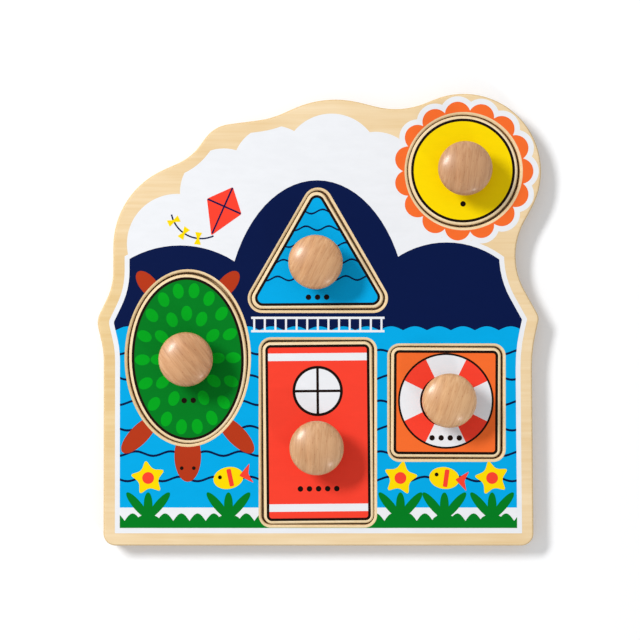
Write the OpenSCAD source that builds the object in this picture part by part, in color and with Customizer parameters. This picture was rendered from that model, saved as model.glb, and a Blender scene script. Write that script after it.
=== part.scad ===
// Peg puzzle: a glued board with five shaped cut-outs and five knobbed pieces.
// Millimetres, +Z up. The origin is the middle of the board's box, on the table.

/* [Board] */
// Thickness of the backing sheet
back_t = 3; // [2:0.5:6]
// Thickness of the front sheet with the cut-outs
front_t = 9; // [7:0.5:14]
// Wood between the oval's cut-out and the left side of the board's box
left_wall = 19.7; // [15:0.1:30]
// Wood between the square's cut-out and the right side of the board's box
right_wall = 25.3; // [20:0.1:35]
// Wood between the rectangle's cut-out and the board's lower edge
foot_wall = 13.8; // [10:0.1:25]
// Wood between the triangle's cut-out and the top of the board's box
head_wall = 63.9; // [55:0.1:80]
// Wood between the circle's cut-out and the lobe's edge
lobe_wall = 14; // [10:0.5:18]
// Wood between the cut-outs of the oval and the rectangle
oval_web = 8.7; // [6:0.1:16]
// Wood between the cut-outs of the rectangle and the square
square_web = 10.4; // [6:0.1:18]
// Wood between the cut-outs of the rectangle and the triangle
triangle_web = 19.7; // [12:0.1:30]

/* [Fit] */
// Room all round a piece in its cut-out
fit_gap = 1; // [0.6:0.1:2]
// Radius of the sanded edges on the board, the pieces and the cut-outs' mouths
ease_r = 1.2; // [0.5:0.1:1.8]

/* [Circle piece] */
// Radius of the circle
circle_r = 36.2; // [28:0.2:42]

/* [Triangle piece] */
// Distance from the triangle's centre to a side
triangle_in_r = 28; // [24:0.5:32]
// Radius of the triangle's corners
triangle_corner_r = 6.9; // [4:0.1:10]

/* [Oval piece] */
// Long diameter of the oval
oval_l = 111.6; // [95:0.2:125]
// Short diameter of the oval
oval_w = 77.8; // [66:0.2:88]

/* [Rectangle piece] */
// Length of the rectangle
rectangle_l = 120; // [100:1:140]
// Width of the rectangle
rectangle_w = 72.5; // [60:0.5:84]

/* [Square piece] */
// Side of the square
square_l = 72.5; // [60:0.5:84]
// Radius of the corners of the rectangle and the square
corner_r = 5.4; // [3:0.1:10]

/* [Knob] */
// Diameter of the knob's cap
knob_d = 35.4; // [30:0.2:40]
// Height of the knob above its piece
knob_h = 22; // [20:0.5:26]
// Height of the widest place of the cap
cap_h = 13.7; // [12.5:0.1:14.5]
// Radius of the rounded edge of the cap
cap_edge_r = 4.5; // [3.5:0.1:5]
// Diameter of the foot that stands on the piece
foot_d = 20; // [17:0.2:24]
// Slope of the cone between the foot and the cap
cone_angle = 35; // [30:1:40]

/* [Screw] */
// Length of the screw
screw_l = 18; // [16:0.5:20]
// Diameter of the shank
screw_d = 3.5; // [3:0.1:4]
// Diameter of the countersunk head
head_d = 7; // [6.5:0.1:8]
// How far the head lies below the back of its piece
head_sink = 0.3; // [0.2:0.1:0.6]
// Room between the shank and the hole through the piece
shank_gap = 0.2; // [0.1:0.05:0.4]

/* [Hidden] */

// Overrun of every cut past the face that it opens
over = 0.5;
// Depth of the cross in a screw head, and the length and width of its slots
cross_depth = 1.4;
cross_l = 3.6;
cross_w = 0.9;
// Length of the screw's point, and its blunt end
point_l = 4;
point_d = 0.8;
// Room beyond the point in the knob's pilot hole
pilot_room = 0.5;
// Facets of round shapes, of the small round of a sanded edge, and of the oval
round_steps = 96;
ease_steps = 24;
oval_steps = 72;
// Turn of each facet round the board and at the triangle's corners, and on the sanded
// edges of the board, the triangle and the oval
board_facet = 5;
corner_facet = 7.5;
ease_facet = 30;
// Reach of a plate's plain core, and depth of the band round it, as shares of the
// radius of the plate or of its corners
core_share = 0.75;
band_share = 0.6;
// Straight stretches of an edge shorter than this are left out
least_line = 0.001;
full_turn = 360;

// Room that each piece's cut-out takes
circle_room_r = circle_r + fit_gap;
triangle_room_in_r = triangle_in_r + fit_gap;
triangle_room_h = 3 * triangle_room_in_r - triangle_corner_r - fit_gap;
oval_room_w = oval_w + 2 * fit_gap;
rectangle_room_w = rectangle_w + 2 * fit_gap;
rectangle_room_l = rectangle_l + 2 * fit_gap;
square_room_l = square_l + 2 * fit_gap;

board_w = left_wall + oval_room_w + oval_web + rectangle_room_w + square_web
    + square_room_l + right_wall;
board_h = foot_wall + rectangle_room_l + triangle_web + triangle_room_h + head_wall;
half_w = board_w / 2;
half_h = board_h / 2;

// Heights of the centres of the oval and the square, as shares of half the board's height
oval_height_share = -0.17;
square_height_share = -0.367;

// Centres of the cut-outs
lobe_r = circle_room_r + lobe_wall;
circle_place = [half_w - lobe_r, half_h - lobe_r];
oval_place = [left_wall + oval_room_w / 2 - half_w, oval_height_share * half_h];
rectangle_place = [
    left_wall + oval_room_w + oval_web + rectangle_room_w / 2 - half_w,
    foot_wall + rectangle_room_l / 2 - half_h
];
triangle_place = [
    rectangle_place[0],
    rectangle_place[1] + rectangle_room_l / 2 + triangle_web + triangle_room_in_r
];
square_place = [half_w - right_wall - square_room_l / 2, square_height_share * half_h];

// How each piece lies in its cut-out: aside, upward and turned, as shares of the gap
circle_rest_share = [-0.4, 0.35, 0];
triangle_rest_share = [-0.35, 0.1, 0.3];
oval_rest_share = [0, -0.45, 0.4];
rectangle_rest_share = [0.15, -0.15, 0.5];
square_rest_share = [-0.4, 0.15, -0.15];

// How far each knob stands aside of its piece's centre and above it, as shares of half the
// piece's width and height, and for the triangle of the distance from its centre to a side
circle_knob_share = [0, 0];
triangle_knob_share = [-0.04, 0.075];
oval_knob_share = [0, 0];
rectangle_knob_share = [-0.027, -0.148];
square_knob_share = [0.03, 0.055];

// Discs that the board's edge runs round, from the lower right corner up the right side
// and down the left one: the centre and the radius, less than zero where the edge bends
// inwards, as shares of half the board's width. The outline that they give is that much
// higher than wide, and is then drawn out to the board's own height.
board_disc_shares = [
    [0.911, -0.964, 0.055],
    [1.642, -0.212, -0.683],
    [0.934, 0.003, 0.055],
    [1.207, 0.288, -0.322],
    [0.6505, 0.6695, 0.3495],
    [0.343, 1.307, -0.357],
    [0.072, 0.54, 0.453],
    [-0.325, 1.286, -0.39],
    [-0.389, 0.728, 0.155],
    [-0.734, 0.925, -0.24],
    [-0.55, 0.328, 0.38],
    [-1.22, 0.219, -0.29],
    [-0.9, -0.015, 0.1],
    [-1.333, -0.184, -0.36],
    [-0.919, -0.964, 0.055]
];
outline_height_share = 1.019;

// Angle of the outward normal of the straight edge from one disc to the next
function normal_angle(a, b) =
    atan2(b[1] - a[1], b[0] - a[0])
    - acos((a[2] - b[2]) / norm([b[0] - a[0], b[1] - a[1]]));

// Arcs of an edge that runs round a ring of discs like a belt round pulleys. An arc is
// its centre's x and y, its radius, and the edge's outward angle at its two ends.
function belt_arcs(discs) = [
    for (i = [0:len(discs) - 1])
        let (
            here = discs[i],
            from = normal_angle(discs[(i + len(discs) - 1) % len(discs)], here),
            to = normal_angle(here, discs[(i + 1) % len(discs)]),
            turn = here[2] > 0
                ? (to - from + 2 * full_turn) % full_turn
                : -((from - to + 2 * full_turn) % full_turn)
        )
            [here[0], here[1], here[2], from, from + turn]
];
function arc_point(arc, angle) = [arc[0] + arc[2] * cos(angle), arc[1] + arc[2] * sin(angle)];
function arc_start(arc) = arc_point(arc, arc[3]);
function arc_end(arc) = arc_point(arc, arc[4]);

board_arcs = belt_arcs(board_disc_shares);

// Centres of the corners of the straight-sided pieces, which their cut-outs share
triangle_reach = 2 * (triangle_in_r - triangle_corner_r);
triangle_corners = [
    for (angle = [90, 210, 330]) [triangle_reach * cos(angle), triangle_reach * sin(angle)]
];
function box_corners(w, l) = [
    for (way = [[1, 1], [-1, 1], [-1, -1], [1, -1]])
        [way[0] * (w / 2 - corner_r), way[1] * (l / 2 - corner_r)]
];
rectangle_corners = box_corners(rectangle_w, rectangle_l);
square_corners = box_corners(square_l, square_l);

function corner_arcs(corners, r) = belt_arcs([for (c = corners) [c[0], c[1], r]]);

// Points round the edge of the board, the triangle and the oval, moved out by grow
function board_edge(grow) = [
    for (arc = board_arcs)
        let (steps = ceil(abs(arc[4] - arc[3]) / board_facet))
            for (i = [0:steps])
                let (
                    r = arc[2] + grow / half_w,
                    angle = arc[3] + (arc[4] - arc[3]) * i / steps,
                    p = arc_point([arc[0], arc[1], r], angle)
                )
                    [p[0] * half_w, p[1] * half_h / outline_height_share]
];
function triangle_edge(grow) = [
    for (arc = corner_arcs(triangle_corners, triangle_corner_r + grow))
        for (angle = [arc[3]:corner_facet:arc[4]])
            arc_point(arc, angle)
];
function oval_edge(grow) = [
    for (i = [0:oval_steps - 1])
        let (angle = full_turn * i / oval_steps)
            [(oval_w / 2 + grow) * cos(angle), (oval_l / 2 + grow) * sin(angle)]
];

// Levels of a sanded lower and upper edge, and with them of the pieces, of the two
// sheets of the board, and of the cutter of a cut-out with a sanded mouth. Each is how
// far the edge is moved out, and its height.
low_ease = [for (a = [0:ease_facet:90]) [ease_r * (sin(a) - 1), ease_r * (1 - cos(a))]];
high_ease = [for (level = [len(low_ease) - 1:-1:0])
    [low_ease[level][0], front_t - low_ease[level][1]]];
piece_levels = concat(low_ease, high_ease);
back_levels = concat(low_ease, [[0, back_t]]);
front_levels = concat([[0, 0]], high_ease);
recess_levels = concat(
    [[fit_gap, -over]],
    [for (a = [0:ease_facet:90])
        [fit_gap + ease_r * (1 - cos(a)), front_t - ease_r * (1 - sin(a))]],
    [[fit_gap + ease_r, front_t + over]]
);

// Turn that moves a piece's far end by a share of the gap
function loose_turn(rest, reach) = asin(rest[2] * fit_gap / reach);
circle_turn = 0;
triangle_turn = loose_turn(triangle_rest_share, triangle_reach);
oval_turn = loose_turn(oval_rest_share, (oval_l - oval_w) / 2);
rectangle_turn = loose_turn(rectangle_rest_share, rectangle_l / 2 - corner_r);
square_turn = loose_turn(square_rest_share, square_l / 2 - corner_r);

// Where each knob stands on its piece
circle_knob_at = circle_knob_share * circle_r;
triangle_knob_at = triangle_knob_share * triangle_in_r;
oval_knob_at = [oval_knob_share[0] * oval_w / 2, oval_knob_share[1] * oval_l / 2];
rectangle_knob_at = [
    rectangle_knob_share[0] * rectangle_w / 2,
    rectangle_knob_share[1] * rectangle_l / 2
];
square_knob_at = square_knob_share * square_l / 2;

head_t = (head_d - screw_d) / 2;

// Carries a section round a ring of arcs: the edge is at x = 0, and outside is +X
module sweep(arcs) {
    for (i = [0:len(arcs) - 1]) {
        sweep_arc(arcs[i])
            children();
        sweep_line(arc_end(arcs[i]), arc_start(arcs[(i + 1) % len(arcs)]))
            children();
    }
}

module sweep_arc(arc) {
    bulges = arc[2] > 0;
    translate([arc[0], arc[1]])
        rotate([0, 0, bulges ? arc[3] : arc[4] + 180])
            rotate_extrude(angle = abs(arc[4] - arc[3]), $fn = round_steps)
                translate([abs(arc[2]), 0])
                    mirror([bulges ? 0 : 1, 0])
                        children();
}

module sweep_line(start, end) {
    line = end - start;
    if (norm(line) > least_line)
        translate(end)
            rotate([90, 0, atan2(line[1], line[0]) - 90])
                linear_extrude(norm(line))
                    children();
}

// What sanding takes off an edge whose corner is at the origin
module ease_waste() {
    translate([-ease_r, -ease_r])
        difference() {
            square(ease_r + over);
            circle(r = ease_r, $fn = ease_steps);
        }
}

// Section of a piece from its edge inwards, with both edges sanded round
module piece_section(depth) {
    difference() {
        translate([-depth, 0])
            square([depth, front_t]);
        translate([0, front_t])
            ease_waste();
        mirror([0, 1])
            ease_waste();
    }
}

// Section of a cut-out's cutter from its edge inwards, flared over the rounded mouth
module recess_section(depth) {
    translate([-depth, -over])
        square([depth, front_t + 2 * over]);
    translate([0, front_t - ease_r])
        difference() {
            square([ease_r, ease_r + over]);
            translate([ease_r, 0])
                circle(r = ease_r, $fn = ease_steps);
        }
}

// Plain core of a plate, out to the ends of a ring of arcs
module core(arcs, z, h) {
    translate([0, 0, z])
        linear_extrude(h)
            polygon([for (arc = arcs) each [arc_start(arc), arc_end(arc)]]);
}

// Plate and cutter of the circle, each a swept band round a plain core
module circle_plate() {
    rotate_extrude($fn = round_steps) {
        square([circle_r * core_share, front_t]);
        translate([circle_r, 0])
            piece_section(circle_r * band_share);
    }
}
module circle_cut() {
    rotate_extrude($fn = round_steps) {
        translate([0, -over])
            square([circle_room_r * core_share, front_t + 2 * over]);
        translate([circle_room_r, 0])
            recess_section(circle_room_r * band_share);
    }
}

// Plate and cutter of a piece with square corners
module corner_plate(corners) {
    core(corner_arcs(corners, corner_r * core_share), 0, front_t);
    sweep(corner_arcs(corners, corner_r))
        piece_section(corner_r * band_share);
}
module corner_cut(corners) {
    r = corner_r + fit_gap;
    core(corner_arcs(corners, r * core_share), -over, front_t + 2 * over);
    sweep(corner_arcs(corners, r))
        recess_section(r * band_share);
}

// Skins a stack of edges that have the same number of points, from the lowest up
module loft(edges, levels) {
    n = len(edges[0]);
    top = (len(levels) - 1) * n;
    polyhedron(
        points = [
            for (k = [0:len(levels) - 1])
                for (p = edges[k])
                    [p[0], p[1], levels[k][1]]
        ],
        faces = concat(
            [[for (i = [0:n - 1]) i], [for (i = [n - 1:-1:0]) top + i]],
            [
                for (k = [0:len(levels) - 2])
                    for (i = [0:n - 1])
                        let (a = k * n + i, b = k * n + (i + 1) % n)
                            each [[a, a + n, b], [b, a + n, b + n]]
            ]
        )
    );
}

// Lays a piece in its cut-out as it rests there
module lay(place, rest, turn) {
    translate([place[0] + rest[0] * fit_gap, place[1] + rest[1] * fit_gap, back_t])
        rotate([0, 0, turn])
            children();
}

// Hole through a piece for the screw that holds its knob
module screw_hole(knob_at) {
    translate([knob_at[0], knob_at[1], -over])
        cylinder(r = screw_d / 2 + shank_gap, h = front_t + 2 * over, $fn = round_steps);
    translate([knob_at[0], knob_at[1], head_sink])
        cylinder(r1 = head_d / 2, r2 = screw_d / 2, h = head_t, $fn = round_steps);
    translate([knob_at[0], knob_at[1], -over])
        cylinder(r = head_d / 2, h = head_sink + over, $fn = round_steps);
}

module knob() {
    edge_x = knob_d / 2 - cap_edge_r;
    crown_h = knob_h - cap_edge_r;
    dome_y = (pow(crown_h, 2) - pow(edge_x, 2) - pow(cap_h, 2)) / (2 * (crown_h - cap_h));
    dome_r = knob_h - dome_y;
    join = cap_edge_r * [sin(cone_angle), -cos(cone_angle)] + [edge_x, cap_h];
    crown = [0, dome_y] + dome_r * [edge_x, cap_h - dome_y] / norm([edge_x, cap_h - dome_y]);
    foot_h = join[1] - (join[0] - foot_d / 2) * tan(cone_angle);
    pilot_h = screw_l + head_sink - front_t + pilot_room;
    translate([0, 0, front_t])
        difference() {
            rotate_extrude($fn = round_steps)
                intersection() {
                    square([knob_d, knob_h]);
                    union() {
                        polygon([
                            [0, 0], [foot_d / 2, 0], [foot_d / 2, foot_h],
                            join, [edge_x, cap_h], crown, [0, crown[1]]
                        ]);
                        translate([edge_x, cap_h])
                            circle(r = cap_edge_r, $fn = round_steps);
                        intersection() {
                            translate([0, dome_y])
                                circle(r = dome_r, $fn = round_steps);
                            translate([0, crown[1] - over])
                                square([crown[0], knob_h]);
                        }
                    }
                }
            translate([0, 0, -over])
                cylinder(r = screw_d / 2, h = pilot_h + over, $fn = round_steps);
        }
}

module screw() {
    translate([0, 0, head_sink])
        difference() {
            union() {
                cylinder(r1 = head_d / 2, r2 = screw_d / 2, h = head_t, $fn = round_steps);
                cylinder(r = screw_d / 2, h = screw_l - point_l, $fn = round_steps);
                translate([0, 0, screw_l - point_l])
                    cylinder(r1 = screw_d / 2, r2 = point_d / 2, h = point_l, $fn = round_steps);
            }
            for (turn = [0, 90])
                rotate([0, 0, turn])
                    translate([-cross_l / 2, -cross_w / 2, -over])
                        cube([cross_l, cross_w, cross_depth + over]);
        }
}

module back_board() {
    color("burlywood")
        loft([for (level = back_levels) board_edge(level[0])], back_levels);
}

module front_board() {
    color("wheat")
        difference() {
            translate([0, 0, back_t])
                loft([for (level = front_levels) board_edge(level[0])], front_levels);
            translate([circle_place[0], circle_place[1], back_t])
                circle_cut();
            translate([triangle_place[0], triangle_place[1], back_t])
                loft([for (level = recess_levels) triangle_edge(level[0])], recess_levels);
            translate([oval_place[0], oval_place[1], back_t])
                loft([for (level = recess_levels) oval_edge(level[0])], recess_levels);
            translate([rectangle_place[0], rectangle_place[1], back_t])
                corner_cut(rectangle_corners);
            translate([square_place[0], square_place[1], back_t])
                corner_cut(square_corners);
        }
}

module circle_piece() {
    color("gold")
        lay(circle_place, circle_rest_share, circle_turn)
            difference() {
                circle_plate();
                screw_hole(circle_knob_at);
            }
}

module triangle_piece() {
    color("deepskyblue")
        lay(triangle_place, triangle_rest_share, triangle_turn)
            difference() {
                loft([for (level = piece_levels) triangle_edge(level[0])], piece_levels);
                screw_hole(triangle_knob_at);
            }
}

module oval_piece() {
    color("forestgreen")
        lay(oval_place, oval_rest_share, oval_turn)
            difference() {
                loft([for (level = piece_levels) oval_edge(level[0])], piece_levels);
                screw_hole(oval_knob_at);
            }
}

module rectangle_piece() {
    color("tomato")
        lay(rectangle_place, rectangle_rest_share, rectangle_turn)
            difference() {
                corner_plate(rectangle_corners);
                screw_hole(rectangle_knob_at);
            }
}

module square_piece() {
    color("orange")
        lay(square_place, square_rest_share, square_turn)
            difference() {
                corner_plate(square_corners);
                screw_hole(square_knob_at);
            }
}

module lay_knob(place, rest, turn, knob_at) {
    color("burlywood")
        lay(place, rest, turn)
            translate(knob_at)
                knob();
}

module lay_screw(place, rest, turn, knob_at) {
    color("silver")
        lay(place, rest, turn)
            translate(knob_at)
                screw();
}

module circle_knob() { lay_knob(circle_place, circle_rest_share, circle_turn, circle_knob_at); }
module circle_screw() { lay_screw(circle_place, circle_rest_share, circle_turn, circle_knob_at); }
module triangle_knob() {
    lay_knob(triangle_place, triangle_rest_share, triangle_turn, triangle_knob_at);
}
module triangle_screw() {
    lay_screw(triangle_place, triangle_rest_share, triangle_turn, triangle_knob_at);
}
module oval_knob() { lay_knob(oval_place, oval_rest_share, oval_turn, oval_knob_at); }
module oval_screw() { lay_screw(oval_place, oval_rest_share, oval_turn, oval_knob_at); }
module rectangle_knob() {
    lay_knob(rectangle_place, rectangle_rest_share, rectangle_turn, rectangle_knob_at);
}
module rectangle_screw() {
    lay_screw(rectangle_place, rectangle_rest_share, rectangle_turn, rectangle_knob_at);
}
module square_knob() { lay_knob(square_place, square_rest_share, square_turn, square_knob_at); }
module square_screw() { lay_screw(square_place, square_rest_share, square_turn, square_knob_at); }

back_board();
front_board();
circle_piece();
circle_knob();
circle_screw();
triangle_piece();
triangle_knob();
triangle_screw();
oval_piece();
oval_knob();
oval_screw();
rectangle_piece();
rectangle_knob();
rectangle_screw();
square_piece();
square_knob();
square_screw();
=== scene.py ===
# Peg puzzle: a printed board with five knobbed pieces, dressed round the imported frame.
# Lengths are millimetres, but for the studio's, which are metres. Angles are degrees.
# Meshes are shaped in millimetres and turned to metres when they are finished.
import math
import bpy
import bmesh
from mathutils import Matrix, Vector


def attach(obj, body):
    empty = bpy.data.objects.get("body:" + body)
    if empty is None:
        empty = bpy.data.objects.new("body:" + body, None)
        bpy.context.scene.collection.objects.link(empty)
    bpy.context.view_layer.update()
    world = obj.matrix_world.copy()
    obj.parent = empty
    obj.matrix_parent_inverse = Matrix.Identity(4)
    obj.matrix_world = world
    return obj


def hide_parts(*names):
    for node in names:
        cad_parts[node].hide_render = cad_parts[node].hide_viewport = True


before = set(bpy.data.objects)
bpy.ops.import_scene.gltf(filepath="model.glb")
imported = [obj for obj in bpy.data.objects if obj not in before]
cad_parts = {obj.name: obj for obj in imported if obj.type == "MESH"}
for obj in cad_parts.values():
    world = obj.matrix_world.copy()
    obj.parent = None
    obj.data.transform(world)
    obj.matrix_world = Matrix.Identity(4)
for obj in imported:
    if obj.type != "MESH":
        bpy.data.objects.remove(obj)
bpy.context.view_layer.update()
scene = bpy.context.scene
scene.view_settings.view_transform = "Standard"
fullTurn = 2 * math.pi
perMetre = 1000
print("frame loaded")


# Outlines of the board and of the pieces

# The board's edge runs round discs, each an x, a y and a radius as shares of half its
# width, in which half its height is heightShare. A negative radius is a hollow of the edge.
board = {
    "halfWidth": 146.45, "halfHeight": 149.25, "heightShare": 1.019,
    "backThickness": 3, "frontThickness": 9, "ease": 1.2, "gap": 1,
    "discs": (
        (0.911, -0.964, 0.055), (1.642, -0.212, -0.683), (0.934, 0.003, 0.055),
        (1.207, 0.288, -0.322), (0.6505, 0.6695, 0.3495), (0.343, 1.307, -0.357),
        (0.072, 0.54, 0.453), (-0.325, 1.286, -0.39), (-0.389, 0.728, 0.155),
        (-0.734, 0.925, -0.24), (-0.55, 0.328, 0.38), (-1.22, 0.219, -0.29),
        (-0.9, -0.015, 0.1), (-1.333, -0.184, -0.36), (-0.919, -0.964, 0.055),
    ),
    "facet": 5, "easeSteps": 6, "supportStrip": 0.8, "leastCorner": 1,
    "sameLevel": 0.001, "wallSlope": 0.5, "sideSlope": 0.97,
}

# The pieces. The size is two radii, or for the triangle the distance from the middle to a
# side and the corners' radius, or width and length. At rest a piece lies that far aside in
# its cut-out, and turned so that it swings that far at that reach. The dots are how many
# it bears and how far down.
pieces = {
    "circle": {
        "at": (95.25, 98.05), "size": (36.2, 36.2), "rest": (-0.4, 0.35), "swing": (0, 36.2),
        "knobAt": (0, 0), "grain": 82, "tone": ("#BB8C62", "#CFA075"),
        "ink": "yellow", "dots": (1, -22), "slot": "yellow_wood",
    },
    "triangle": {
        "at": (-1, 35.25), "size": (28, 6.9), "rest": (-0.35, 0.1), "swing": (0.3, 42.2),
        "knobAt": (-1.12, 2.1), "grain": 62, "tone": ("#C8976A", "#DFAF7F"),
        "ink": "skyBlue", "dots": (3, -20.5), "slot": "blue_wood",
    },
    "oval": {
        "at": (-86.85, -25.3725), "size": (38.9, 55.8), "rest": (0, -0.45), "swing": (0.4, 16.9),
        "knobAt": (0, 0), "grain": -52, "tone": ("#C08E61", "#D8A678"),
        "ink": "darkGreen", "dots": (2, -27.5), "slot": "green_wood",
    },
    "rectangle": {
        "at": (-1, -74.45), "size": (72.5, 120), "rest": (0.15, -0.15), "swing": (0.5, 54.6),
        "knobAt": (-0.97875, -8.88), "grain": 86, "tone": ("#C7996D", "#DDAF82"),
        "ink": "red", "dots": (5, -37), "slot": "red_wood",
    },
    "square": {
        "at": (83.9, -54.77475), "size": (72.5, 72.5), "rest": (-0.4, 0.15),
        "swing": (-0.15, 30.85),
        "knobAt": (1.0875, 1.99375), "grain": 70, "tone": ("#D2A273", "#E6B988"),
        "ink": "orange", "dots": (4, -23.4), "slot": "orange_wood",
    },
}
boxCorner = {"radius": 5.4, "facet": 3.75}
pieceSteps = {"circle": 96, "oval": 72, "triangleFacet": 7.5}


def normalAngle(a, b):
    # Outward angle of the straight edge from one disc to the next
    away = math.hypot(b[0] - a[0], b[1] - a[1])
    return math.atan2(b[1] - a[1], b[0] - a[0]) - math.acos((a[2] - b[2]) / away)


def addBelt(shape, discs, grow, facet):
    # A ring of edges round the discs, like a belt round pulleys: each bend is a spun vertex
    first = last = None
    for i, (x, y, r) in enumerate(discs):
        start = normalAngle(discs[i - 1], discs[i])
        turn = normalAngle(discs[i], discs[(i + 1) % len(discs)]) - start
        turn = turn % fullTurn if r > 0 else -(-turn % fullTurn)
        r += grow
        vert = shape.verts.new((x + r * math.cos(start), y + r * math.sin(start), 0))
        if last:
            shape.edges.new((last, vert))
        steps = math.ceil(abs(turn) / math.radians(facet) - 0.001)  # whole ones stay whole
        spun = bmesh.ops.spin(
            shape, geom=[vert], cent=(x, y, 0), axis=(0, 0, 1), angle=turn, steps=steps)
        first, last = first or vert, spun["geom_last"][0]
    shape.edges.new((last, first))


def addOval(shape, rx, ry, x=0, y=0, turn=0, steps=72, filled=False):
    place = Matrix.Translation((x, y, 0)) @ Matrix.Rotation(math.radians(turn), 4, "Z")
    bmesh.ops.create_circle(
        shape, cap_ends=filled, segments=steps, radius=1,
        matrix=place @ Matrix.Diagonal((rx, ry, 1, 1)))


def boardRing(shape, grow):
    # Where a corner would turn inside out, a small disc that meets the same edges replaces it
    w = board["halfWidth"]
    up = board["halfHeight"] / board["heightShare"]
    discs = [(x * w, y * up, r * w) for x, y, r in board["discs"]]
    grown = []
    for i, (x, y, r) in enumerate(discs):
        least = min(r, board["leastCorner"]) if r > 0 else r + grow
        if r + grow < least:
            start = normalAngle(discs[i - 1], discs[i])
            half = (normalAngle(discs[i], discs[(i + 1) % len(discs)]) - start) % fullTurn / 2
            inward = (r + grow - least) / math.cos(half)
            x += inward * math.cos(start + half)
            y += inward * math.sin(start + half)
        grown.append((x, y, max(r + grow, least)))
    addBelt(shape, grown, 0, board["facet"])


def circleRing(shape, grow):
    across, along = pieces["circle"]["size"]
    addOval(shape, across + grow, along + grow, steps=pieceSteps["circle"])


def triangleRing(shape, grow, size=None):
    # Its size is the distance from the middle to a side, and the corners' radius
    toSide, corner = size or pieces["triangle"]["size"]
    reach = 2 * (toSide - corner)
    turns = [math.radians(angle) for angle in (90, 210, 330)]
    discs = [(reach * math.cos(a), reach * math.sin(a), corner) for a in turns]
    addBelt(shape, discs, grow, pieceSteps["triangleFacet"])


def ovalRing(shape, grow):
    across, along = pieces["oval"]["size"]
    addOval(shape, across + grow, along + grow, steps=pieceSteps["oval"])


def boxRing(shape, grow, size):
    r = boxCorner["radius"]
    x, y = size[0] / 2 - r, size[1] / 2 - r
    addBelt(shape, [(x, y, r), (-x, y, r), (-x, -y, r), (x, -y, r)], grow, boxCorner["facet"])


def rectangleRing(shape, grow):
    boxRing(shape, grow, pieces["rectangle"]["size"])


def squareRing(shape, grow):
    boxRing(shape, grow, pieces["square"]["size"])


rings = {
    "circle": circleRing, "triangle": triangleRing, "oval": ovalRing,
    "rectangle": rectangleRing, "square": squareRing,
}


def cutoutRings(shape, grow):
    # The five cut-outs of the board, each moved to its place
    for name, piece in pieces.items():
        before = set(shape.verts)
        rings[name](shape, board["gap"] + grow)
        added = [v for v in shape.verts if v not in before]
        bmesh.ops.translate(shape, verts=added, vec=(*piece["at"], 0))


# Plates from outlines, and finished objects from shapes

def fillRings(shape, edges=None):
    bmesh.ops.triangle_fill(
        shape, edges=edges or shape.edges[:], use_beauty=True, normal=(0, 0, 1))


def raiseFaces(shape, height, sink=0):
    # Makes flat faces a solid of that height, which stands that far under their level
    made = bmesh.ops.extrude_face_region(shape, geom=shape.faces[:])["geom"]
    verts = [part for part in made if isinstance(part, bmesh.types.BMVert)]
    bmesh.ops.translate(shape, verts=verts, vec=(0, 0, height))
    bmesh.ops.recalc_face_normals(shape, faces=shape.faces[:])
    if sink:
        bmesh.ops.translate(shape, verts=shape.verts[:], vec=(0, 0, -sink))


def spot(vert):
    return tuple(round(c, 4) for c in vert.co)


def roundedPlate(shape, height, easedHeights):
    # Fills the rings, keeps a strip of quads along every edge so that the rounding and the
    # shading stay clean, raises the plate and rounds the edges at the given heights
    fillRings(shape)
    onRing = {spot(v) for v in shape.verts}
    strip = set(bmesh.ops.inset_region(
        shape, faces=shape.faces[:], use_boundary=True, use_even_offset=True,
        thickness=board["ease"] + board["supportStrip"])["faces"])
    bmesh.ops.delete(shape, geom=[f for f in shape.faces if f not in strip], context="FACES")
    inner = [e for e in shape.edges
             if e.is_boundary and not all(spot(v) in onRing for v in e.verts)]
    fillRings(shape, inner)
    raiseFaces(shape, height)
    for level in easedHeights:
        rim = [e for e in shape.edges
               if all(abs(v.co.z - level) < board["sameLevel"] for v in e.verts)
               and any(abs(f.normal.z) < board["wallSlope"] for f in e.link_faces)]
        bmesh.ops.bevel(
            shape, geom=rim, offset=board["ease"], offset_type="OFFSET",
            segments=board["easeSteps"], profile=0.5, affect="EDGES", material=-1)


def finishPiece(name, shape, materials, place=Matrix(), sharpAngle=30):
    # Turns a shape in millimetres to a smooth-shaded object in metres, at the origin, or to
    # a flat-shaded one where no angle is given
    shape.transform(Matrix.Scale(1 / perMetre, 4) @ place)
    mesh = bpy.data.meshes.new(name)
    shape.to_mesh(mesh)
    shape.free()
    for material in materials:
        mesh.materials.append(material)
    if sharpAngle:
        mesh.shade_smooth()
        mesh.set_sharp_from_angle(angle=math.radians(sharpAngle))
    piece = bpy.data.objects.new(name, mesh)
    scene.collection.objects.link(piece)
    return piece


def cutWith(shape, cutter, operation):
    # Boolean of two closed shapes in millimetres
    carriers = []
    for part in (shape, cutter):
        mesh = bpy.data.meshes.new("carrier")
        part.to_mesh(mesh)
        carrier = bpy.data.objects.new("carrier", mesh)
        scene.collection.objects.link(carrier)
        carriers.append(carrier)
    cut = carriers[0].modifiers.new("cut", "BOOLEAN")
    cut.operation, cut.solver, cut.object = operation, "MANIFOLD", carriers[1]
    shown = bpy.context.evaluated_depsgraph_get()
    done = bpy.data.meshes.new_from_object(carriers[0].evaluated_get(shown))
    shape.clear()
    shape.from_mesh(done)
    for carrier in carriers:
        bpy.data.meshes.remove(carrier.data)
    bpy.data.meshes.remove(done)


# Materials

def hexToLinear(code):
    parts = [int(code[i:i + 2], 16) / 255 for i in (1, 3, 5)]
    return (*[p / 12.92 if p <= 0.04045 else ((p + 0.055) / 1.055) ** 2.4 for p in parts], 1)


def addNode(tree, kind, sockets=None, **settings):
    # Adds a node, sets its settings, and sets or links its input sockets
    node = tree.nodes.new(kind)
    for name, value in settings.items():
        setattr(node, name, value)
    for name, value in (sockets or {}).items():
        if isinstance(value, bpy.types.NodeSocket):
            tree.links.new(value, node.inputs[name])
        else:
            node.inputs[name].default_value = value
    return node


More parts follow.
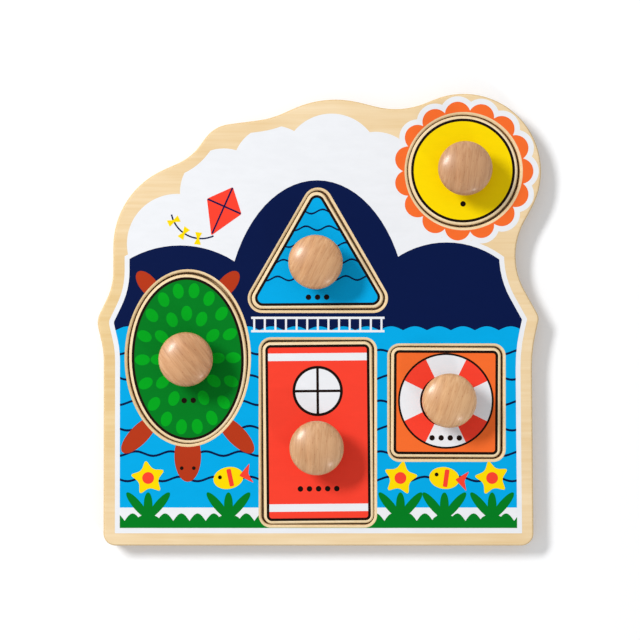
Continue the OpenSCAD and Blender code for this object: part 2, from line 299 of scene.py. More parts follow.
def startMaterial(name, sockets):
    material = bpy.data.materials.new(name)
    material.use_nodes = True
    shader = material.node_tree.nodes["Principled BSDF"]
    for socket, value in sockets.items():
        shader.inputs[socket].default_value = value
    return material, material.node_tree, shader


def inObject(tree, middle, turn, size):
    # Object coordinates, centred on middle, turned, and measured in lengths of size
    where = addNode(tree, "ShaderNodeTexCoord").outputs["Object"]
    placed = addNode(tree, "ShaderNodeMapping", {
        "Vector": where,
        "Location": (middle[0] / perMetre, middle[1] / perMetre, 0),
        "Rotation": (0, 0, math.radians(turn)),
        "Scale": tuple(side / perMetre for side in size),
    }, vector_type="TEXTURE")
    return placed.outputs["Vector"]


def grainNoise(tree, size, middle=(0, 0), turn=0, detail=3, distortion=0.0):
    # Noise in object space whose blobs are as long, wide and high as size
    noise = addNode(tree, "ShaderNodeTexNoise", {
        "Vector": inObject(tree, middle, turn, size), "Scale": 1.0, "Detail": detail,
        "Roughness": 0.55, "Distortion": distortion})
    return noise.outputs["Fac"]


def ramp(tree, value, stops, interpolation="LINEAR"):
    node = addNode(tree, "ShaderNodeValToRGB", {"Fac": value})
    node.color_ramp.interpolation = interpolation
    while len(node.color_ramp.elements) < len(stops):
        node.color_ramp.elements.new(0.5)
    for element, (position, code) in zip(node.color_ramp.elements, stops):
        element.position = position
        element.color = hexToLinear(code)
    return node.outputs["Color"]


def multiplied(tree, first, second, share=1.0):
    node = addNode(tree, "ShaderNodeMix", data_type="RGBA", blend_type="MULTIPLY")
    node.inputs[0].default_value = share
    tree.links.new(first, node.inputs[6])
    tree.links.new(second, node.inputs[7])
    return node.outputs[2]


def pressRelief(tree, shader, height, strength, distance):
    # Bump from a height, whose distance is in metres as Blender takes it
    bump = addNode(tree, "ShaderNodeBump", {
        "Height": height, "Strength": strength, "Distance": distance})
    tree.links.new(bump.outputs["Normal"], shader.inputs["Normal"])


def sandedVeneer(name, light, dark, turn=0, heart=None):
    # Basswood or birch veneer, sanded and unvarnished: pale, even, with faint long streaks,
    # and where it is given, a patch of yellower heartwood
    material, tree, shader = startMaterial(name, {
        "Roughness": 0.58, "Specular IOR Level": 0.35})
    streaks = grainNoise(tree, (60, 2.2, 2.2), turn=turn, detail=4, distortion=0.15)
    clouds = grainNoise(tree, (60, 22, 22), turn=turn, detail=2)
    colour = ramp(tree, streaks, ((0.3, dark), (0.7, light)))
    shade = ramp(tree, clouds, ((0.3, "#F5EEE0"), (0.7, "#FFFFFF")))
    if heart:
        patch = addNode(tree, "ShaderNodeTexGradient", {
            "Vector": inObject(tree, heart["at"], 0, heart["size"])}, gradient_type="SPHERICAL")
        yellowed = ramp(tree, patch.outputs["Fac"], ((0.05, "#FFFFFF"), (0.6, heart["tone"])))
        shade = multiplied(tree, shade, yellowed)
    tree.links.new(multiplied(tree, colour, shade), shader.inputs["Base Color"])
    pores = grainNoise(tree, (5, 0.45, 0.45), turn=turn)
    pressRelief(tree, shader, pores, strength=0.25, distance=0.00008)
    return material


def sawnPlyEdge(name, upper, along, across, glue):
    # The sawn edge of glued veneers: pale plies with the grain along them, darker ones cut
    # across it, a thin line of glue between them, and the sanded edge of the upper veneer
    material, tree, shader = startMaterial(name, {
        "Roughness": 0.66, "Specular IOR Level": 0.3})
    top = board["backThickness"] + board["frontThickness"]
    halfGlueLine = 0.07
    # Where each ply starts, up from the back, and its tone
    plies = ((0, along), (1.0, across), (2.0, along), (3.0, along), (4.0, across),
             (6.2, along), (8.8, across), (10.9, upper))
    stops = []
    for base, tone in plies:
        if base:
            stops.append(((base - halfGlueLine) / top, glue))
        stops.append(((base + halfGlueLine) / top if base else 0, tone))
    where = addNode(tree, "ShaderNodeTexCoord").outputs["Object"]
    height = addNode(tree, "ShaderNodeSeparateXYZ", {"Vector": where}).outputs["Z"]
    share = addNode(tree, "ShaderNodeMapRange", {"Value": height, "From Max": top / perMetre})
    layers = ramp(tree, share.outputs["Result"], stops, "CONSTANT")
    fibres = grainNoise(tree, (1.1, 1.1, 0.22), detail=4)
    shade = ramp(tree, fibres, ((0.32, "#D9C4A6"), (0.62, "#FFFFFF")))
    tree.links.new(multiplied(tree, layers, shade, share=0.7), shader.inputs["Base Color"])
    pressRelief(tree, shader, fibres, strength=0.3, distance=0.0001)
    return material


def screenInk(name, code):
    # Screen printer's ink on sanded wood: an even, flat coat that hardly mirrors and only
    # just shows the grain under it
    material, tree, shader = startMaterial(name, {
        "Roughness": 0.52, "Specular IOR Level": 0.05})
    whole = addNode(tree, "ShaderNodeRGB")
    whole.outputs[0].default_value = hexToLinear(code)
    blotches = grainNoise(tree, (14, 5, 5), detail=3)
    mottle = ramp(tree, blotches, ((0.35, "#FCFCFC"), (0.65, "#FFFFFF")))
    tree.links.new(multiplied(tree, whole.outputs[0], mottle), shader.inputs["Base Color"])
    pores = grainNoise(tree, (6, 0.6, 0.6))
    pressRelief(tree, shader, pores, strength=0.1, distance=0.00005)
    return material


def varnishedBeech(name, middle, turn, tones):
    # Turned beech under clear varnish: faint growth rings that curve over the dome, short
    # brown flecks along them, and soft reflections in the coat
    material, tree, shader = startMaterial(name, {
        "Roughness": 0.45, "Coat Weight": 0.3, "Coat Roughness": 0.2, "Coat IOR": 1.5})
    dark, light = tones
    growth = grainNoise(tree, (46, 3.4, 8), middle, turn, detail=2, distortion=0.6)
    fine = grainNoise(tree, (22, 0.9, 2.4), middle, turn, detail=2, distortion=0.25)
    clouds = grainNoise(tree, (26, 12, 14), middle, turn, detail=2)
    # Real flecks are half as wide
    flecks = grainNoise(tree, (2.6, 0.5, 0.9), middle, turn, detail=1)
    colour = ramp(tree, growth, ((0.34, dark), (0.64, light)))
    lines = ramp(tree, fine, ((0.34, "#EFE3D7"), (0.6, "#FFFFFF")))
    drift = ramp(tree, clouds, ((0.3, "#F3EAE1"), (0.7, "#FFFFFF")))
    specks = ramp(tree, flecks, ((0.68, "#FFFFFF"), (0.76, "#D2B090")))
    colour = multiplied(tree, multiplied(tree, colour, lines), multiplied(tree, drift, specks))
    tree.links.new(colour, shader.inputs["Base Color"])
    return material


def zincPlatedSteel(name):
    # Bright zinc on a pressed screw head: grey metal with a fine spangle
    material, tree, shader = startMaterial(name, {"Metallic": 1.0})
    spangle = grainNoise(tree, (0.8, 0.8, 0.8), detail=3)
    grey = ramp(tree, spangle, ((0.3, "#B9BCBF"), (0.7, "#DADCDD")))
    tree.links.new(grey, shader.inputs["Base Color"])
    dull = addNode(tree, "ShaderNodeMapRange", {"Value": spangle, "To Min": 0.25, "To Max": 0.4})
    tree.links.new(dull.outputs["Result"], shader.inputs["Roughness"])
    return material


inks = {
    "white": "#ECEEF2", "skyBlue": "#00A9E6", "navy": "#041544", "orange": "#F66E2E",
    "yellow": "#FCDB00", "red": "#F84330", "darkGreen": "#007A20", "lightGreen": "#00A51D",
    "brown": "#B43819", "black": "#170A05",
}
heartwood = {"at": (-150, -30), "size": (70, 115, 1000), "tone": "#F7F2DE"}
boardFace = sandedVeneer("sandedBasswoodFace", "#F3DCB6", "#ECD0A2", heart=heartwood)
pieceFace = sandedVeneer("sandedBasswoodPieceFace", "#FAE7C4", "#F2D9B0", turn=90)
backing = sandedVeneer("sandedBirchBacking", "#E6CDA0", "#D9BA8A", turn=90)
plyEdge = sawnPlyEdge("sawnPlyEdge", "#F2DBB1", "#E9C992", "#CC9A57", "#8C6536")
outerEdge = sawnPlyEdge("brownedPlyEdge", "#E6CC9D", "#D3B482", "#AB8354", "#80603A")
inkCoats = {ink: screenInk(f"screenInk{ink[0].upper()}{ink[1:]}", code)
            for ink, code in inks.items()}
print("materials ready")


# The board's two sheets and the pieces

def outlineFaces(sides):
    # The side faces that run round the outline: those joined to the one farthest right
    reached = {max(sides, key=lambda f: f.calc_center_median().x)}
    edge = list(reached)
    while edge:
        near = {g for e in edge.pop().edges for g in e.link_faces if g in sides} - reached
        reached |= near
        edge.extend(near)
    return reached


def dressPlate(name, shape, top, under, outline, place, node, body):
    # Upper faces take one veneer, lower ones another, and what lies between is ply edge
    sides = {f for f in shape.faces if abs(f.normal.z) <= board["sideSlope"]}
    outer = outlineFaces(sides)
    for f in shape.faces:
        f.material_index = 3 if f in outer else 2 if f in sides else 0 if f.normal.z > 0 else 1
    plate = finishPiece(name, shape, (top, under, plyEdge, outline), place)
    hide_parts(node)
    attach(plate, body)


backSheet = bmesh.new()
boardRing(backSheet, 0)
roundedPlate(backSheet, board["backThickness"], (0,))
dressPlate("backing_sheet", backSheet, backing, backing, outerEdge, Matrix(),
           "back_board", "board")

onBacking = Matrix.Translation((0, 0, board["backThickness"]))
frontSheet = bmesh.new()
boardRing(frontSheet, 0)
cutoutRings(frontSheet, 0)
roundedPlate(frontSheet, board["frontThickness"], (board["frontThickness"],))
dressPlate("front_sheet", frontSheet, boardFace, boardFace, outerEdge, onBacking,
           "front_board", "board")

# The hole under each piece that takes its screw's head, and its cutter's start below
screwHole = {
    "headRadius": 3.5, "shankRadius": 1.95, "sink": 0.3, "taper": 1.6, "depth": 4,
    "below": 1, "steps": 48, "weld": 0.0001,
}


def screwCutter(at):
    # Half the hole's section, spun
    shape = bmesh.new()
    head, shank, sink = (screwHole[size] for size in ("headRadius", "shankRadius", "sink"))
    low, deep = -screwHole["below"], screwHole["depth"]
    section = ((0, low), (head, low), (head, sink), (shank, sink + screwHole["taper"]),
               (shank, deep), (0, deep))
    verts = [shape.verts.new((r, 0, z)) for r, z in section]
    edges = [shape.edges.new(pair) for pair in zip(verts, verts[1:])]
    bmesh.ops.spin(shape, geom=verts + edges, cent=(0, 0, 0), axis=(0, 0, 1),
                   angle=fullTurn, steps=screwHole["steps"], use_merge=True)
    bmesh.ops.remove_doubles(shape, verts=shape.verts[:], dist=screwHole["weld"])
    bmesh.ops.recalc_face_normals(shape, faces=shape.faces[:])
    shape.transform(Matrix.Translation((*at, 0)))
    return shape


piecePlaces = {}
for name, piece in pieces.items():
    (x, y), (aside, up), (swing, reach) = piece["at"], piece["rest"], piece["swing"]
    place = Matrix.Translation((x + aside, y + up, board["backThickness"]))
    piecePlaces[name] = place @ Matrix.Rotation(math.asin(swing / reach), 4, "Z")
    plate = bmesh.new()
    rings[name](plate, 0)
    roundedPlate(plate, board["frontThickness"], (0, board["frontThickness"]))
    cutter = screwCutter(piece["knobAt"])
    cutWith(plate, cutter, "DIFFERENCE")
    cutter.free()
    dressPlate(f"{name}_plate", plate, pieceFace, pieceFace, plyEdge, piecePlaces[name],
               f"{name}_piece", name)
print("board and pieces cut")


# The knobs

knob = {
    "diameter": 35.4, "height": 22, "capHeight": 13.7, "edgeRadius": 4.5,
    "footDiameter": 20, "coneAngle": 35, "domeSteps": 14, "beadSteps": 16, "turnSteps": 96,
    "weld": 0.001, "sliver": 0.0001,
}


def turnKnob():
    # Half the section of the knob, from the top of its dome to the middle of its foot, spun
    shape = bmesh.new()
    edgeX = knob["diameter"] / 2 - knob["edgeRadius"]
    crown = knob["height"] - knob["edgeRadius"]
    cap = knob["capHeight"]
    domeZ = (crown ** 2 - edgeX ** 2 - cap ** 2) / (2 * (crown - cap))
    domeAngle = math.atan2(edgeX, cap - domeZ)
    cone = math.radians(knob["coneAngle"])
    foot = knob["footDiameter"] / 2
    joinX = edgeX + knob["edgeRadius"] * math.sin(cone)
    joinZ = cap - knob["edgeRadius"] * math.cos(cone)
    top = shape.verts.new((0, 0, knob["height"]))
    dome = bmesh.ops.spin(shape, geom=[top], cent=(0, 0, domeZ), axis=(0, 1, 0),
                          angle=domeAngle, steps=knob["domeSteps"])["geom_last"]
    bead = bmesh.ops.spin(shape, geom=dome, cent=(edgeX, 0, cap), axis=(0, 1, 0),
                          angle=math.pi - cone - domeAngle, steps=knob["beadSteps"])["geom_last"]
    last = bead[0]
    for x, z in ((foot, joinZ - (joinX - foot) * math.tan(cone)), (foot, 0), (0, 0)):
        vert = shape.verts.new((x, 0, z))
        shape.edges.new((last, vert))
        last = vert
    bmesh.ops.spin(shape, geom=shape.verts[:] + shape.edges[:], cent=(0, 0, 0), axis=(0, 0, 1),
                   angle=fullTurn, steps=knob["turnSteps"], use_merge=True)
    bmesh.ops.remove_doubles(shape, verts=shape.verts[:], dist=knob["weld"])
    bmesh.ops.dissolve_degenerate(shape, edges=shape.edges[:], dist=knob["sliver"])
    bmesh.ops.recalc_face_normals(shape, faces=shape.faces[:])
    return shape


zinc = zincPlatedSteel("zincPlatedSteel")
for name, piece in pieces.items():
    stand = piecePlaces[name] @ Matrix.Translation((*piece["knobAt"], board["frontThickness"]))
    beech = varnishedBeech(
        f"varnishedBeech{name.capitalize()}", stand.translation, piece["grain"], piece["tone"])
    turned = finishPiece(f"{name}_turned_knob", turnKnob(), (beech,), stand)
    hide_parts(f"{name}_knob")
    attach(turned, name)
    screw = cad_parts[f"{name}_screw"]
    for i in range(len(screw.material_slots)):
        screw.material_slots[i].material = zinc
print("knobs turned")


# The print: each film of ink is a thin closed plate, clipped to where the press prints

# Bare rims, and the heights of the films, which start just inside the wood: where two
# overlap, one lies in a higher layer
printing = {
    "whiteRim": 7.7, "colourRim": 10.9, "cutoutRim": 1.85, "edgeRim": 1.3,
    "sunk": 0.05, "firstLayer": 0.02, "layer": 0.015, "maskHeight": 2,
    "weld": 0.002, "flatWithin": 0.5, "roundingSteps": 5,
}


def addPatch(shape, corners, x=0, y=0, turn=0, rounding=0):
    # A flat shape from its corners, which may be rounded
    place = Matrix.Translation((x, y, 0)) @ Matrix.Rotation(math.radians(turn), 4, "Z")
    verts = [shape.verts.new(place @ Vector((*corner, 0))) for corner in corners]
    shape.faces.new(verts)
    if rounding:
        bmesh.ops.bevel(
            shape, geom=verts, offset=rounding, offset_type="OFFSET",
            segments=printing["roundingSteps"], profile=0.5, affect="VERTICES", material=-1)


def addBar(shape, width, height, x=0, y=0, turn=0, rounding=0):
    w, h = width / 2, height / 2
    addPatch(shape, ((-w, -h), (w, -h), (w, h), (-w, h)), x, y, turn, rounding)


def addHoop(shape, outer, inner, x=0, y=0, fromAngle=0, span=360, steps=60):
    # A flat ring or a part of one, from a spun edge
    a, b = (shape.verts.new((x + r, y, 0)) for r in (inner, outer))
    edge = shape.edges.new((a, b))
    bmesh.ops.rotate(shape, verts=(a, b), cent=(x, y, 0),
                     matrix=Matrix.Rotation(math.radians(fromAngle), 3, "Z"))
    bmesh.ops.spin(shape, geom=[a, b, edge], cent=(x, y, 0), axis=(0, 0, 1),
                   angle=math.radians(span), steps=steps, use_merge=span == 360)


def addSwell(shape, x0, x1, low, high, humps, rise, isLine=False, steps=12):
    # A strip with a row of cusped waves along its upper edge, or a line that waves
    middle = Matrix.Translation(((x0 + x1) / 2, (low + high) / 2, 0))
    made = bmesh.ops.create_grid(shape, x_segments=humps * steps, y_segments=1, size=0.5,
                                 matrix=middle @ Matrix.Diagonal((x1 - x0, high - low, 1, 1)))
    for v in made["verts"]:
        phase = (v.co.x - x0) / (x1 - x0) * humps * math.pi
        if isLine:
            v.co.y += rise * math.sin(2 * phase)
        elif v.co.y > (low + high) / 2:
            v.co.y += rise * abs(math.sin(phase))


def waveLine(span, aside, level, half, humps, rise):
    return (addSwell, aside - span, aside + span, level - half, level + half, humps, rise, True)


def ovalsAt(places, rx, ry, steps=72):
    return [(addOval, rx, ry, x, y, 0, steps, True) for x, y in places]


def onRound(rx, ry, count, without=()):
    # Places round an oval, from its right-hand end
    angles = [fullTurn * k / count for k in range(count) if k not in without]
    return [(rx * math.cos(a), ry * math.sin(a)) for a in angles]


def layFilm(shape, layer):
    # Gives a film its thickness, with its lower face just inside the wood
    top = printing["firstLayer"] + layer * printing["layer"]
    raiseFaces(shape, top + printing["sunk"], printing["sunk"])


def pressPrint(name, films, place, body):
    # Joins films of (ink, shape) into one piece with a material for each ink, once the
    # slivers that cutting leaves on their flat faces are merged
    used = list(dict.fromkeys(ink for ink, shape in films))
    whole = bmesh.new()
    for ink, shape in films:
        bmesh.ops.remove_doubles(shape, verts=shape.verts[:], dist=printing["weld"])
        bmesh.ops.dissolve_degenerate(shape, edges=shape.edges[:], dist=printing["weld"])
        bmesh.ops.dissolve_limit(shape, angle_limit=math.radians(printing["flatWithin"]),
                                 verts=shape.verts[:], edges=shape.edges[:])
        for f in shape.faces:
            f.material_index = used.index(ink)
        mesh = bpy.data.meshes.new("film")
        shape.to_mesh(mesh)
        shape.free()
        whole.from_mesh(mesh)
        bpy.data.meshes.remove(mesh)
    upper = place @ Matrix.Translation((0, 0, board["frontThickness"]))
    done = finishPiece(name, whole, [inkCoats[ink] for ink in used], upper, None)
    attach(done, body)


def filledRing(ring, *values):
    shape = bmesh.new()
    ring(shape, *values)
    fillRings(shape)
    return shape


def asMask(shape):
    # A thick block that a film is clipped to
    raiseFaces(shape, printing["maskHeight"], printing["maskHeight"] / 2)
    return shape


def boardInside(shape, rim):
    # The board's face without a rim along its edge and round its cut-outs
    boardRing(shape, -rim)
    cutoutRings(shape, printing["cutoutRim"])


def drawnFilm(layer, drawings, mask=None, weld=False):
    # A film of one ink from its drawings: those that overlap are welded one by one
    film = bmesh.new()
    if weld:
        for draw, *values in drawings:
            part = bmesh.new()
            draw(part, *values)
            layFilm(part, layer)
            if film.verts:
                cutWith(film, part, "UNION")
                part.free()
            else:
                film.free()
                film = part
    else:
        for draw, *values in drawings:
            draw(film, *values)
        layFilm(film, layer)
    if mask:
        cutWith(film, mask, "INTERSECT")
    return film


edgeMask, whiteMask, colourMask = (
    asMask(filledRing(boardInside, printing[rim])) for rim in ("edgeRim", "whiteRim", "colourRim"))
pictureHalf = 150  # wider than the board, so that the mask ends every strip

# White ground: clouds over hills with a white border, and scallops round the circle
scallops = {"count": 15, "out": 37.5, "orange": 8.5, "white": 12.1}
hills = ((-92, -8, 62, 57), (-1.5, 0, 60, 92), (84, -10, 60, 61))  # x, y and the two radii
clouds = ((-94, 50, 33), (-63, 84, 29), (-30, 101, 27), (8, 104, 32), (37, 95, 29))
groundBars = ((160, 76, 0, 58), (2 * pictureHalf, 138, 0, -72))  # width, height, x and y
border = printing["colourRim"] - printing["whiteRim"]
sunX, sunY = pieces["circle"]["at"]
petals = [(sunX + x, sunY + y)
          for x, y in onRound(scallops["out"], scallops["out"], scallops["count"])]
ground = [ovalsAt([(x, y)], rx + border, ry + border)[0] for x, y, rx, ry in hills]
ground += [ovalsAt([(x, y)], r, r)[0] for x, y, r in clouds]
ground = drawnFilm(0, ground + [(addBar, *bar) for bar in groundBars], whiteMask, True)
halo = drawnFilm(0, ovalsAt(petals, scallops["white"], scallops["white"]), edgeMask, True)
cutWith(ground, halo, "UNION")
halo.free()
rays = drawnFilm(1, ovalsAt(petals, scallops["orange"], scallops["orange"]), edgeMask, True)
boardFilms = [("white", ground), ("orange", rays)]

# Hills, and the sea in front of them
sea = {"foot": -124, "level": -7, "crests": 19, "rise": 2.6}
seaLines = {"rows": 6, "level": -21.4, "apart": 16.75, "aside": 6, "half": 0.75,
            "crests": 13, "rise": 1.5}
hillDrawings = [ovalsAt([(x, y)], rx, ry)[0] for x, y, rx, ry in hills]
boardFilms.append(("navy", drawnFilm(1, hillDrawings, colourMask, True)))
boardFilms.append(("skyBlue", drawnFilm(2, [
    (addSwell, -pictureHalf, pictureHalf, sea["foot"], sea["level"], sea["crests"],
     sea["rise"])], colourMask)))
waves = [waveLine(pictureHalf, seaLines["aside"] * (row % 2),
                  seaLines["level"] - seaLines["apart"] * row, seaLines["half"],
                  seaLines["crests"], seaLines["rise"]) for row in range(seaLines["rows"])]
boardFilms.append(("navy", drawnFilm(3, waves, colourMask)))

# Sand, and the weed that grows along the foot of the picture
sand = {"height": 14, "at": -131}
weed = {"foot": -137.5, "level": -132.8, "tufts": 28, "rise": 5, "steps": 8}
boardFilms.append(("white", drawnFilm(
    3, [(addBar, 2 * pictureHalf, sand["height"], 0, sand["at"])], colourMask)))
boardFilms.append(("darkGreen", drawnFilm(4, [
    (addSwell, -pictureHalf, pictureHalf, weed["foot"], weed["level"], weed["tufts"],
     weed["rise"], False, weed["steps"])], colourMask)))
print("ground printed")

# Starfish and fish over blades of weed
seaLife = {
    "places": ((-113, "star", 8), (-60, "fish", 12), (53.5, "star", -10), (82.5, "fish", -8),
               (114, "star", 12)),  # across, kind and tilt
    "up": -104.5, "root": -131, "mound": (8, 4.4), "moundUp": -133, "steps": 32,
    "blades": ((-40, 11), (0, 8.5), (40, 11)), "bladeHalf": 2.9,  # lean and half a length
}
star = {"points": 5, "tip": 12.4, "notch": 6.4, "rounding": 2.4, "middle": 3.9}
fish = {
    "body": (10, 7.2), "tailAt": (11.6, 0), "tail": ((-4.4, 0), (4, -6.6), (1.8, 0), (4, 6.6)),
    "stripeAt": (1.2, 0), "stripe": (3, 11.6), "rounding": 0.8, "steps": 48,
    "eyeAt": (-5.4, 1.6), "eye": 1.3, "eyeSteps": 20,
}
blades, yellowShapes, redShapes, blackShapes = [], [], [], []
for x, kind, tilt in seaLife["places"]:
    y = seaLife["up"]
    blades += ovalsAt([(x, seaLife["moundUp"])], *seaLife["mound"], seaLife["steps"])
    for lean, long in seaLife["blades"]:
        side = math.radians(90 - lean)
        blades.append((addOval, long, seaLife["bladeHalf"], x + long * math.cos(side),
                       seaLife["root"] + long * math.sin(side), math.degrees(side),
                       seaLife["steps"], True))
    if kind == "star":
        corners = []
        for k in range(2 * star["points"]):
            r, a = star["notch" if k % 2 else "tip"], math.radians(90 + 180 / star["points"] * k)
            corners.append((r * math.cos(a), r * math.sin(a)))
        yellowShapes.append((addPatch, corners, x, y, tilt, star["rounding"]))
        redShapes += ovalsAt([(x, y)], star["middle"], star["middle"], seaLife["steps"])
    else:
        turned = Matrix.Translation((x, y, 0)) @ Matrix.Rotation(math.radians(tilt), 4, "Z")
        tail, stripe, eye = (turned @ Vector((*fish[part], 0))
                             for part in ("tailAt", "stripeAt", "eyeAt"))
        yellowShapes.append((addOval, *fish["body"], x, y, tilt, fish["steps"], True))
        redShapes.append((addPatch, fish["tail"], tail.x, tail.y, tilt, fish["rounding"]))
        redShapes.append((addBar, *fish["stripe"], stripe.x, stripe.y, tilt, fish["rounding"]))
        blackShapes += ovalsAt([(eye.x, eye.y)], fish["eye"], fish["eye"], fish["eyeSteps"])
boardFilms.append(("darkGreen", drawnFilm(5, blades, colourMask, True)))
boardFilms.append(("yellow", drawnFilm(6, yellowShapes, colourMask)))
boardFilms.append(("red", drawnFilm(7, redShapes, colourMask)))

# The turtle's head and flippers round the oval, whose piece is its shell
turtle = {
    "head": (8.8, 17), "headUp": -90, "headSteps": 48,
    "flippers": ((6.2, 16, 32, -76, 44), (5.6, 11, 26, 23, -40)),  # radii, aside, up, tilt
    "flipperSteps": 40, "eye": 1.2, "eyeAside": 4, "eyeUp": -98, "eyeSteps": 20,
}
turtleX = pieces["oval"]["at"][0]
limbs = ovalsAt([(turtleX, turtle["headUp"])], *turtle["head"], turtle["headSteps"])
for side in (-1, 1):
    for rx, ry, aside, y, tilt in turtle["flippers"]:
        limbs.append((addOval, rx, ry, turtleX + side * aside, y, tilt * side,
                      turtle["flipperSteps"], True))
    blackShapes += ovalsAt([(turtleX + side * turtle["eyeAside"], turtle["eyeUp"])],
                           turtle["eye"], turtle["eye"], turtle["eyeSteps"])
boardFilms.append(("brown", drawnFilm(4, limbs, colourMask)))
boardFilms.append(("black", drawnFilm(8, blackShapes, colourMask)))

# The lighthouse's railing, between its tower and its roof
railing = {
    "length": 88, "rail": 1.5, "railsUp": (1.2, -7.6),
    "post": (1.3, 9), "postsUp": -3.2, "apart": 7, "eachSide": 6,
}
towerX = pieces["rectangle"]["at"][0]
rails = [(addBar, railing["length"], railing["rail"], towerX, y) for y in railing["railsUp"]]
rails += [(addBar, *railing["post"], towerX + railing["apart"] * k, railing["postsUp"])
          for k in range(-railing["eachSide"], railing["eachSide"] + 1)]
boardFilms.append(("white", drawnFilm(4, rails, colourMask, True)))

# A kite over the hills, with bows on its tail
kite = {
    "at": (-64, 72), "turn": -24, "sail": ((0, 17), (12.5, 3), (0, -18), (-12.5, 3)),
    "rounding": 1, "spine": (1.1, 33), "spar": (24, 1.1), "sparUp": 3,
    "tailAt": (-78, 73.5), "tailRadius": 20, "tailHalf": 0.5, "tailFrom": 192, "tailSpan": 102,
    "tailSteps": 24, "bowsAt": (205, 235, 264), "bowRounding": 0.4,
    "bow": ((-4, -2.3), (0, -0.7), (4, -2.3), (4, 2.3), (0, 0.7), (-4, 2.3)),
}
boardFilms.append(("red", drawnFilm(
    4, [(addPatch, kite["sail"], *kite["at"], kite["turn"], kite["rounding"])])))
spar = Matrix.Rotation(math.radians(kite["turn"]), 3, "Z") @ Vector((0, kite["sparUp"], 0))
string = [(addBar, *kite["spine"], *kite["at"], kite["turn"]),
          (addBar, *kite["spar"], kite["at"][0] + spar.x, kite["at"][1] + spar.y, kite["turn"]),
          (addHoop, kite["tailRadius"] + kite["tailHalf"], kite["tailRadius"] - kite["tailHalf"],
           *kite["tailAt"], kite["tailFrom"], kite["tailSpan"], kite["tailSteps"])]
boardFilms.append(("navy", drawnFilm(5, string, None, True)))
bows = []
for angle in kite["bowsAt"]:
    x = kite["tailAt"][0] + kite["tailRadius"] * math.cos(math.radians(angle))
    y = kite["tailAt"][1] + kite["tailRadius"] * math.sin(math.radians(angle))
    bows.append((addPatch, kite["bow"], x, y, angle, kite["bowRounding"]))
boardFilms.append(("yellow", drawnFilm(6, bows)))
pressPrint("board_print", boardFilms, onBacking, "board")
for mask in (edgeMask, whiteMask, colourMask):
    mask.free()
print("board printed")


# The pieces' own print: a black line, the colour within it, a drawing and counting dots

pieceLine = {"rim": 1.9, "width": 1.75, "triangle": (26.07, 5.3)}  # with tighter corners
roofWaves = {
    "up": (36, 25, 14, 3, -8), "span": 60, "aside": 4, "half": 0.6, "crests": 8, "rise": 1.4,
}
shell = {  # two ovals of scutes: the radii and how many, less one that makes room for dots
    "outer": (30, 45.5, 18), "inner": (19.5, 30, 12), "without": (9,),
    "scute": (3.6, 5), "steps": 32,
}
tower = {
    "band": (90, 5), "bandsUp": (-49.5, 50),
    "paneAt": (0, 27.5), "pane": 15, "paneSteps": 64, "frame": (16.6, 14.8), "bar": (1.7, 31),
}
lifebuoy = {  # radii, and for the rims their steps
    "at": (0, 1), "ring": (30.6, 16.8), "steps": 72, "rims": ((31.6, 30.3, 72), (17.1, 15.8, 48)),
    "bands": 4, "bandsFrom": 45, "bandSpan": 38, "bandSteps": 12,
}
dots = {"radius": 1.8, "apart": 6, "steps": 28}


def triangleDrawing(within):
    rows = [waveLine(roofWaves["span"], roofWaves["aside"] * (k % 2), y, roofWaves["half"],
                     roofWaves["crests"], roofWaves["rise"])
            for k, y in enumerate(roofWaves["up"])]
    return [("navy", drawnFilm(2, rows, within))]


def ovalDrawing(within):
    scutes = onRound(*shell["outer"]) + onRound(*shell["inner"], shell["without"])
    drawings = [(addOval, *shell["scute"], x, y, math.degrees(math.atan2(y, x)) - 90,
                 shell["steps"], True) for x, y in scutes]
    return [("lightGreen", drawnFilm(2, drawings, within))]


def rectangleDrawing(within):
    at, (thin, long) = tower["paneAt"], tower["bar"]
    bands = [(addBar, *tower["band"], 0, y) for y in tower["bandsUp"]]
    bars = [(addHoop, *tower["frame"], *at), (addBar, thin, long, *at), (addBar, long, thin, *at)]
    return [("white", drawnFilm(2, bands, within)),
            ("white", drawnFilm(2, ovalsAt([at], tower["pane"], tower["pane"],
                                           tower["paneSteps"]))),
            ("black", drawnFilm(3, bars, None, True))]


def squareDrawing(within):
    at, ring, span = lifebuoy["at"], lifebuoy["ring"], lifebuoy["bandSpan"]
    bands = []
    for k in range(lifebuoy["bands"]):
        start = lifebuoy["bandsFrom"] + 360 / lifebuoy["bands"] * k - span / 2
        bands.append((addHoop, *ring, *at, start, span, lifebuoy["bandSteps"]))
    rims = [(addHoop, outer, inner, *at, 0, 360, steps)
            for outer, inner, steps in lifebuoy["rims"]]
    return [("white", drawnFilm(2, [(addHoop, *ring, *at, 0, 360, lifebuoy["steps"])])),
            ("red", drawnFilm(3, bands)), ("black", drawnFilm(4, rims))]


drawingOn = {
    "triangle": triangleDrawing, "oval": ovalDrawing,
    "rectangle": rectangleDrawing, "square": squareDrawing,
}
for name, piece in pieces.items():
    ring = rings[name]
    rim, *size = (0, pieceLine["triangle"]) if name == "triangle" else (pieceLine["rim"],)
    line = filledRing(ring, -rim, *size)
    colour = filledRing(ring, -rim - pieceLine["width"], *size)
    within = asMask(colour.copy())
    layFilm(line, 0)
    layFilm(colour, 1)
    films = [("black", line), (piece["ink"], colour)]
    if name in drawingOn:
        films += drawingOn[name](within)
    count, low = piece["dots"]
    row = [(dots["apart"] * (k - (count - 1) / 2), low) for k in range(count)]
    films.append(("black", drawnFilm(
        6, ovalsAt(row, dots["radius"], dots["radius"], dots["steps"]))))
    within.free()
    pressPrint(f"{name}_print", films, piecePlaces[name], name)
print("pieces printed")


# Floor and light, in metres and watts

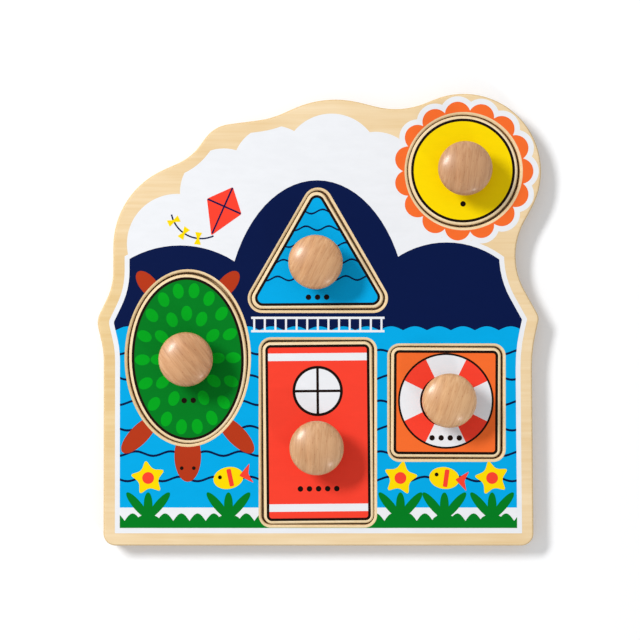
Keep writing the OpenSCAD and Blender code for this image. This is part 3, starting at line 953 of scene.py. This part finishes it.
studio = {
    "world": 0.5, "keyAt": (-1.575, 1.076, 1.5), "keySize": (1.0, 0.4), "keyPower": 46.8,
    "backAt": (0.66, -0.95, 0.66), "backSize": (0.2, 0.14), "backPower": 2.1,
    "floorSize": 8, "floorSunk": 0.00005, "nearGlow": 0.05, "farGlow": 0.5,
    "glowFrom": 0.45, "glowTo": 1.8,
}

# White paper, which glows a little more far from the board, so that it stays as white there
paper, tree, shader = startMaterial("seamlessWhitePaper", {
    "Roughness": 0.9, "Specular IOR Level": 0.0, "Emission Color": (1, 1, 1, 1)})
fibre = ramp(tree, grainNoise(tree, (3, 3, 3)), ((0.3, "#FBFCFE"), (0.7, "#FDFEFF")))
tree.links.new(fibre, shader.inputs["Base Color"])
away = addNode(tree, "ShaderNodeVectorMath", {
    0: addNode(tree, "ShaderNodeTexCoord").outputs["Object"]}, operation="LENGTH")
fade = addNode(tree, "ShaderNodeMapRange", {
    "Value": away.outputs["Value"], "From Min": studio["glowFrom"], "From Max": studio["glowTo"],
    "To Min": studio["nearGlow"], "To Max": studio["farGlow"]})
glow = addNode(tree, "ShaderNodeMath", {
    0: addNode(tree, "ShaderNodeLightPath").outputs["Is Camera Ray"], 1: fade.outputs["Result"]},
    operation="MULTIPLY")
tree.links.new(glow.outputs[0], shader.inputs["Emission Strength"])
floorMesh = bmesh.new()
bmesh.ops.create_grid(
    floorMesh, x_segments=1, y_segments=1, size=studio["floorSize"] / 2 * perMetre)
floor = finishPiece("floor", floorMesh, (paper,),
                    Matrix.Translation((0, 0, -studio["floorSunk"] * perMetre)))

# What the camera sees of the world, also in reflections, is white
world = bpy.data.worlds.new("whiteStudio")
scene.world = world
world.use_nodes = True
sky = world.node_tree
seen = addNode(sky, "ShaderNodeLightPath")
direct = addNode(sky, "ShaderNodeMath", {
    0: seen.outputs["Is Camera Ray"], 1: seen.outputs["Is Glossy Ray"]}, operation="MAXIMUM")
straight = addNode(sky, "ShaderNodeMath", {
    0: direct.outputs[0], 1: seen.outputs["Is Transmission Ray"]}, operation="MAXIMUM")
strength = addNode(sky, "ShaderNodeMapRange", {
    "Value": straight.outputs[0], "To Min": studio["world"], "To Max": 1.0})
backdrop = sky.nodes["Background"]
backdrop.inputs["Color"].default_value = (1, 1, 1, 1)
sky.links.new(strength.outputs["Result"], backdrop.inputs["Strength"])


def addLamp(name, at, size, power):
    # An oval softbox that faces the middle of the board
    lamp = bpy.data.lights.new(name, "AREA")
    lamp.shape, (lamp.size, lamp.size_y), lamp.energy = "ELLIPSE", size, power
    stand = bpy.data.objects.new(name, lamp)
    stand.location = at
    stand.rotation_euler = (-Vector(at)).to_track_quat("-Z", "Y").to_euler()
    scene.collection.objects.link(stand)


addLamp("key_softbox", studio["keyAt"], studio["keySize"], studio["keyPower"])
addLamp("back_strip", studio["backAt"], studio["backSize"], studio["backPower"])

# The camera: how far it stands over the printed face, and what it takes in across there
camera = {"over": (0.43, -0.23), "above": 900, "across": 422.4, "clipEnd": 20000}
lens = bpy.data.cameras.new("camera")
lens.sensor_fit = "HORIZONTAL"
lens.angle = 2 * math.atan(camera["across"] / 2 / camera["above"])
lens.clip_end = camera["clipEnd"] / perMetre
viewpoint = bpy.data.objects.new("camera", lens)
faceHeight = board["backThickness"] + board["frontThickness"]
viewpoint.location = Vector((*camera["over"], camera["above"] + faceHeight)) * (1 / perMetre)
scene.collection.objects.link(viewpoint)
scene.camera = viewpoint
print("studio set")
